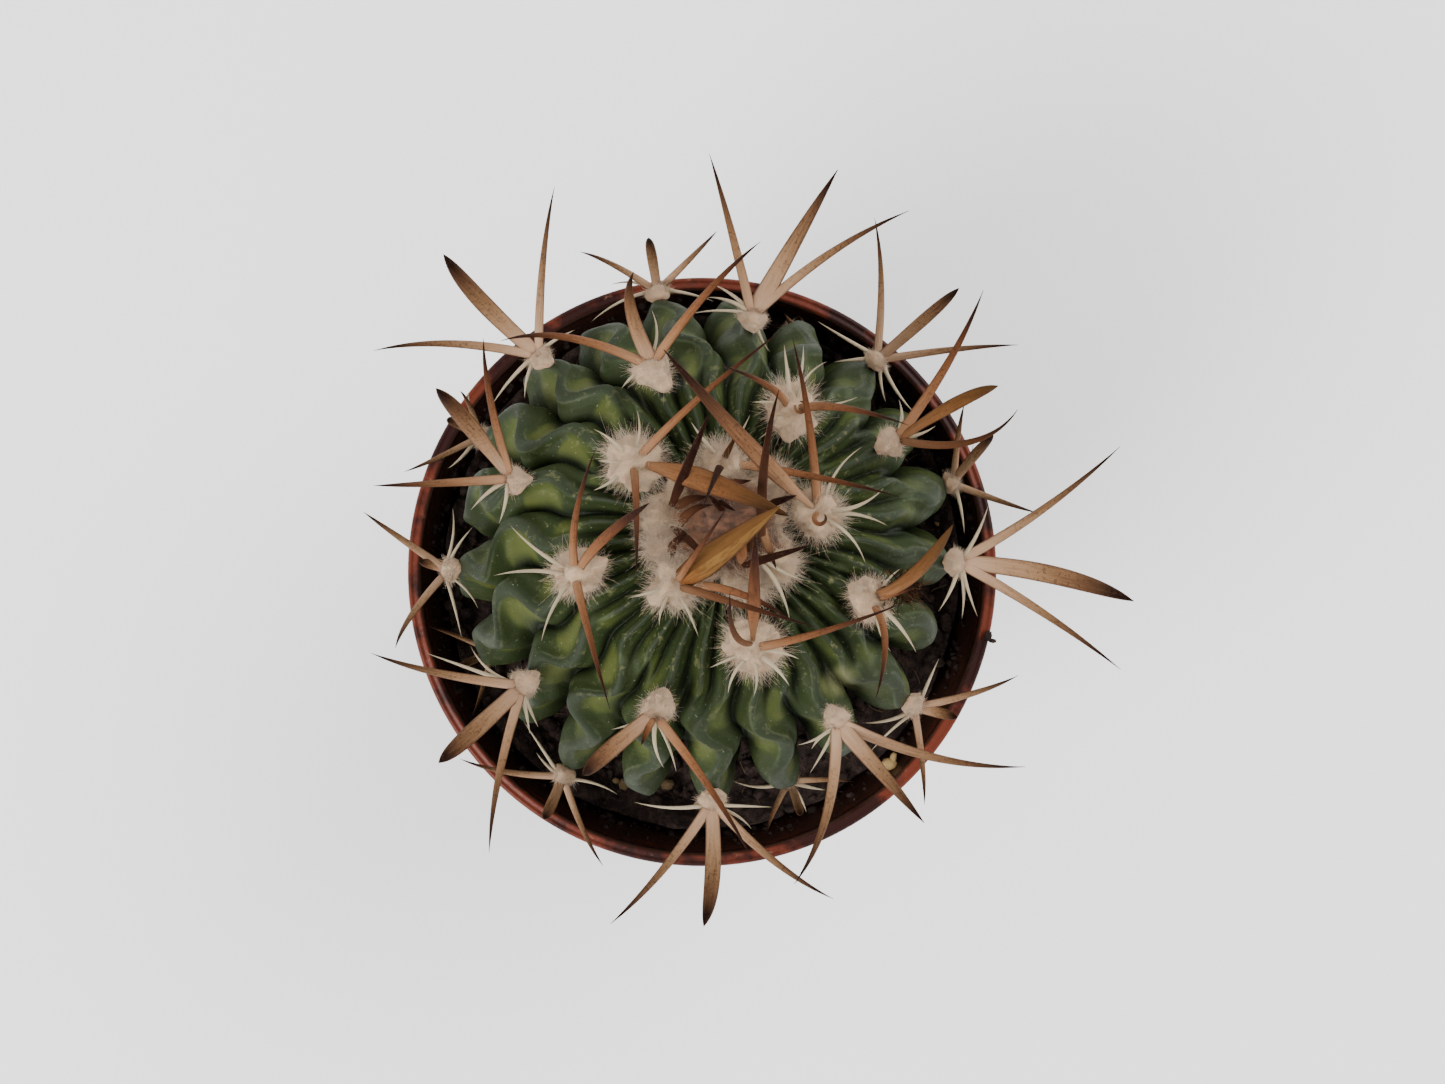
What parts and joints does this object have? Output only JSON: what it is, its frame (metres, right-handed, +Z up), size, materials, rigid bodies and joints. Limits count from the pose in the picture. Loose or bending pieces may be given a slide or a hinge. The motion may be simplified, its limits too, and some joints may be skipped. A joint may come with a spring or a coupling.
{
  "type": "potted brain cactus",
  "caption": "Small ribbed globe cactus with sprays of flattened and needle spines, growing in peat in a round plastic nursery pot.",
  "frame": {"origin": "centre of the pot's flat base, on the surface that it stands on", "axes": "+Z up; +X to the right and +Y to the top of the picture, which looks straight down"},
  "size_m": [0.1012, 0.099, 0.1352],
  "materials": {
    "pot": "moulded terracotta-coloured plastic, dusty and lightly scuffed",
    "soil": "damp dark peat, crumbly and fibrous",
    "stem": "waxy green skin with a blue-grey bloom on the crests",
    "wool": "fluffy cream felt",
    "spines": "dry straw to brown, satin, with dark tips"
  },
  "bodies": {
    "root": {"pot": "pot", "soil": "soil", "stem": "stem", "crown": "wool", "areole_04": "spines", "areole_05": "spines", "areole_06": "spines", "areole_07": "spines", "areole_08": "spines", "areole_09": "spines", "areole_10": "spines", "areole_11": "spines", "areole_12": "spines", "areole_13": "spines", "areole_14": "spines", "areole_15": "spines", "areole_16": "spines", "areole_17": "spines", "areole_18": "spines", "areole_19": "spines", "areole_20": "spines", "areole_21": "spines", "areole_22": "spines", "areole_23": "spines", "areole_24": "spines", "areole_25": "spines", "areole_26": "spines", "areole_27": "spines", "areole_28": "spines", "areole_29": "spines", "areole_30": "spines", "areole_31": "spines"}
  },
  "joints": []
}
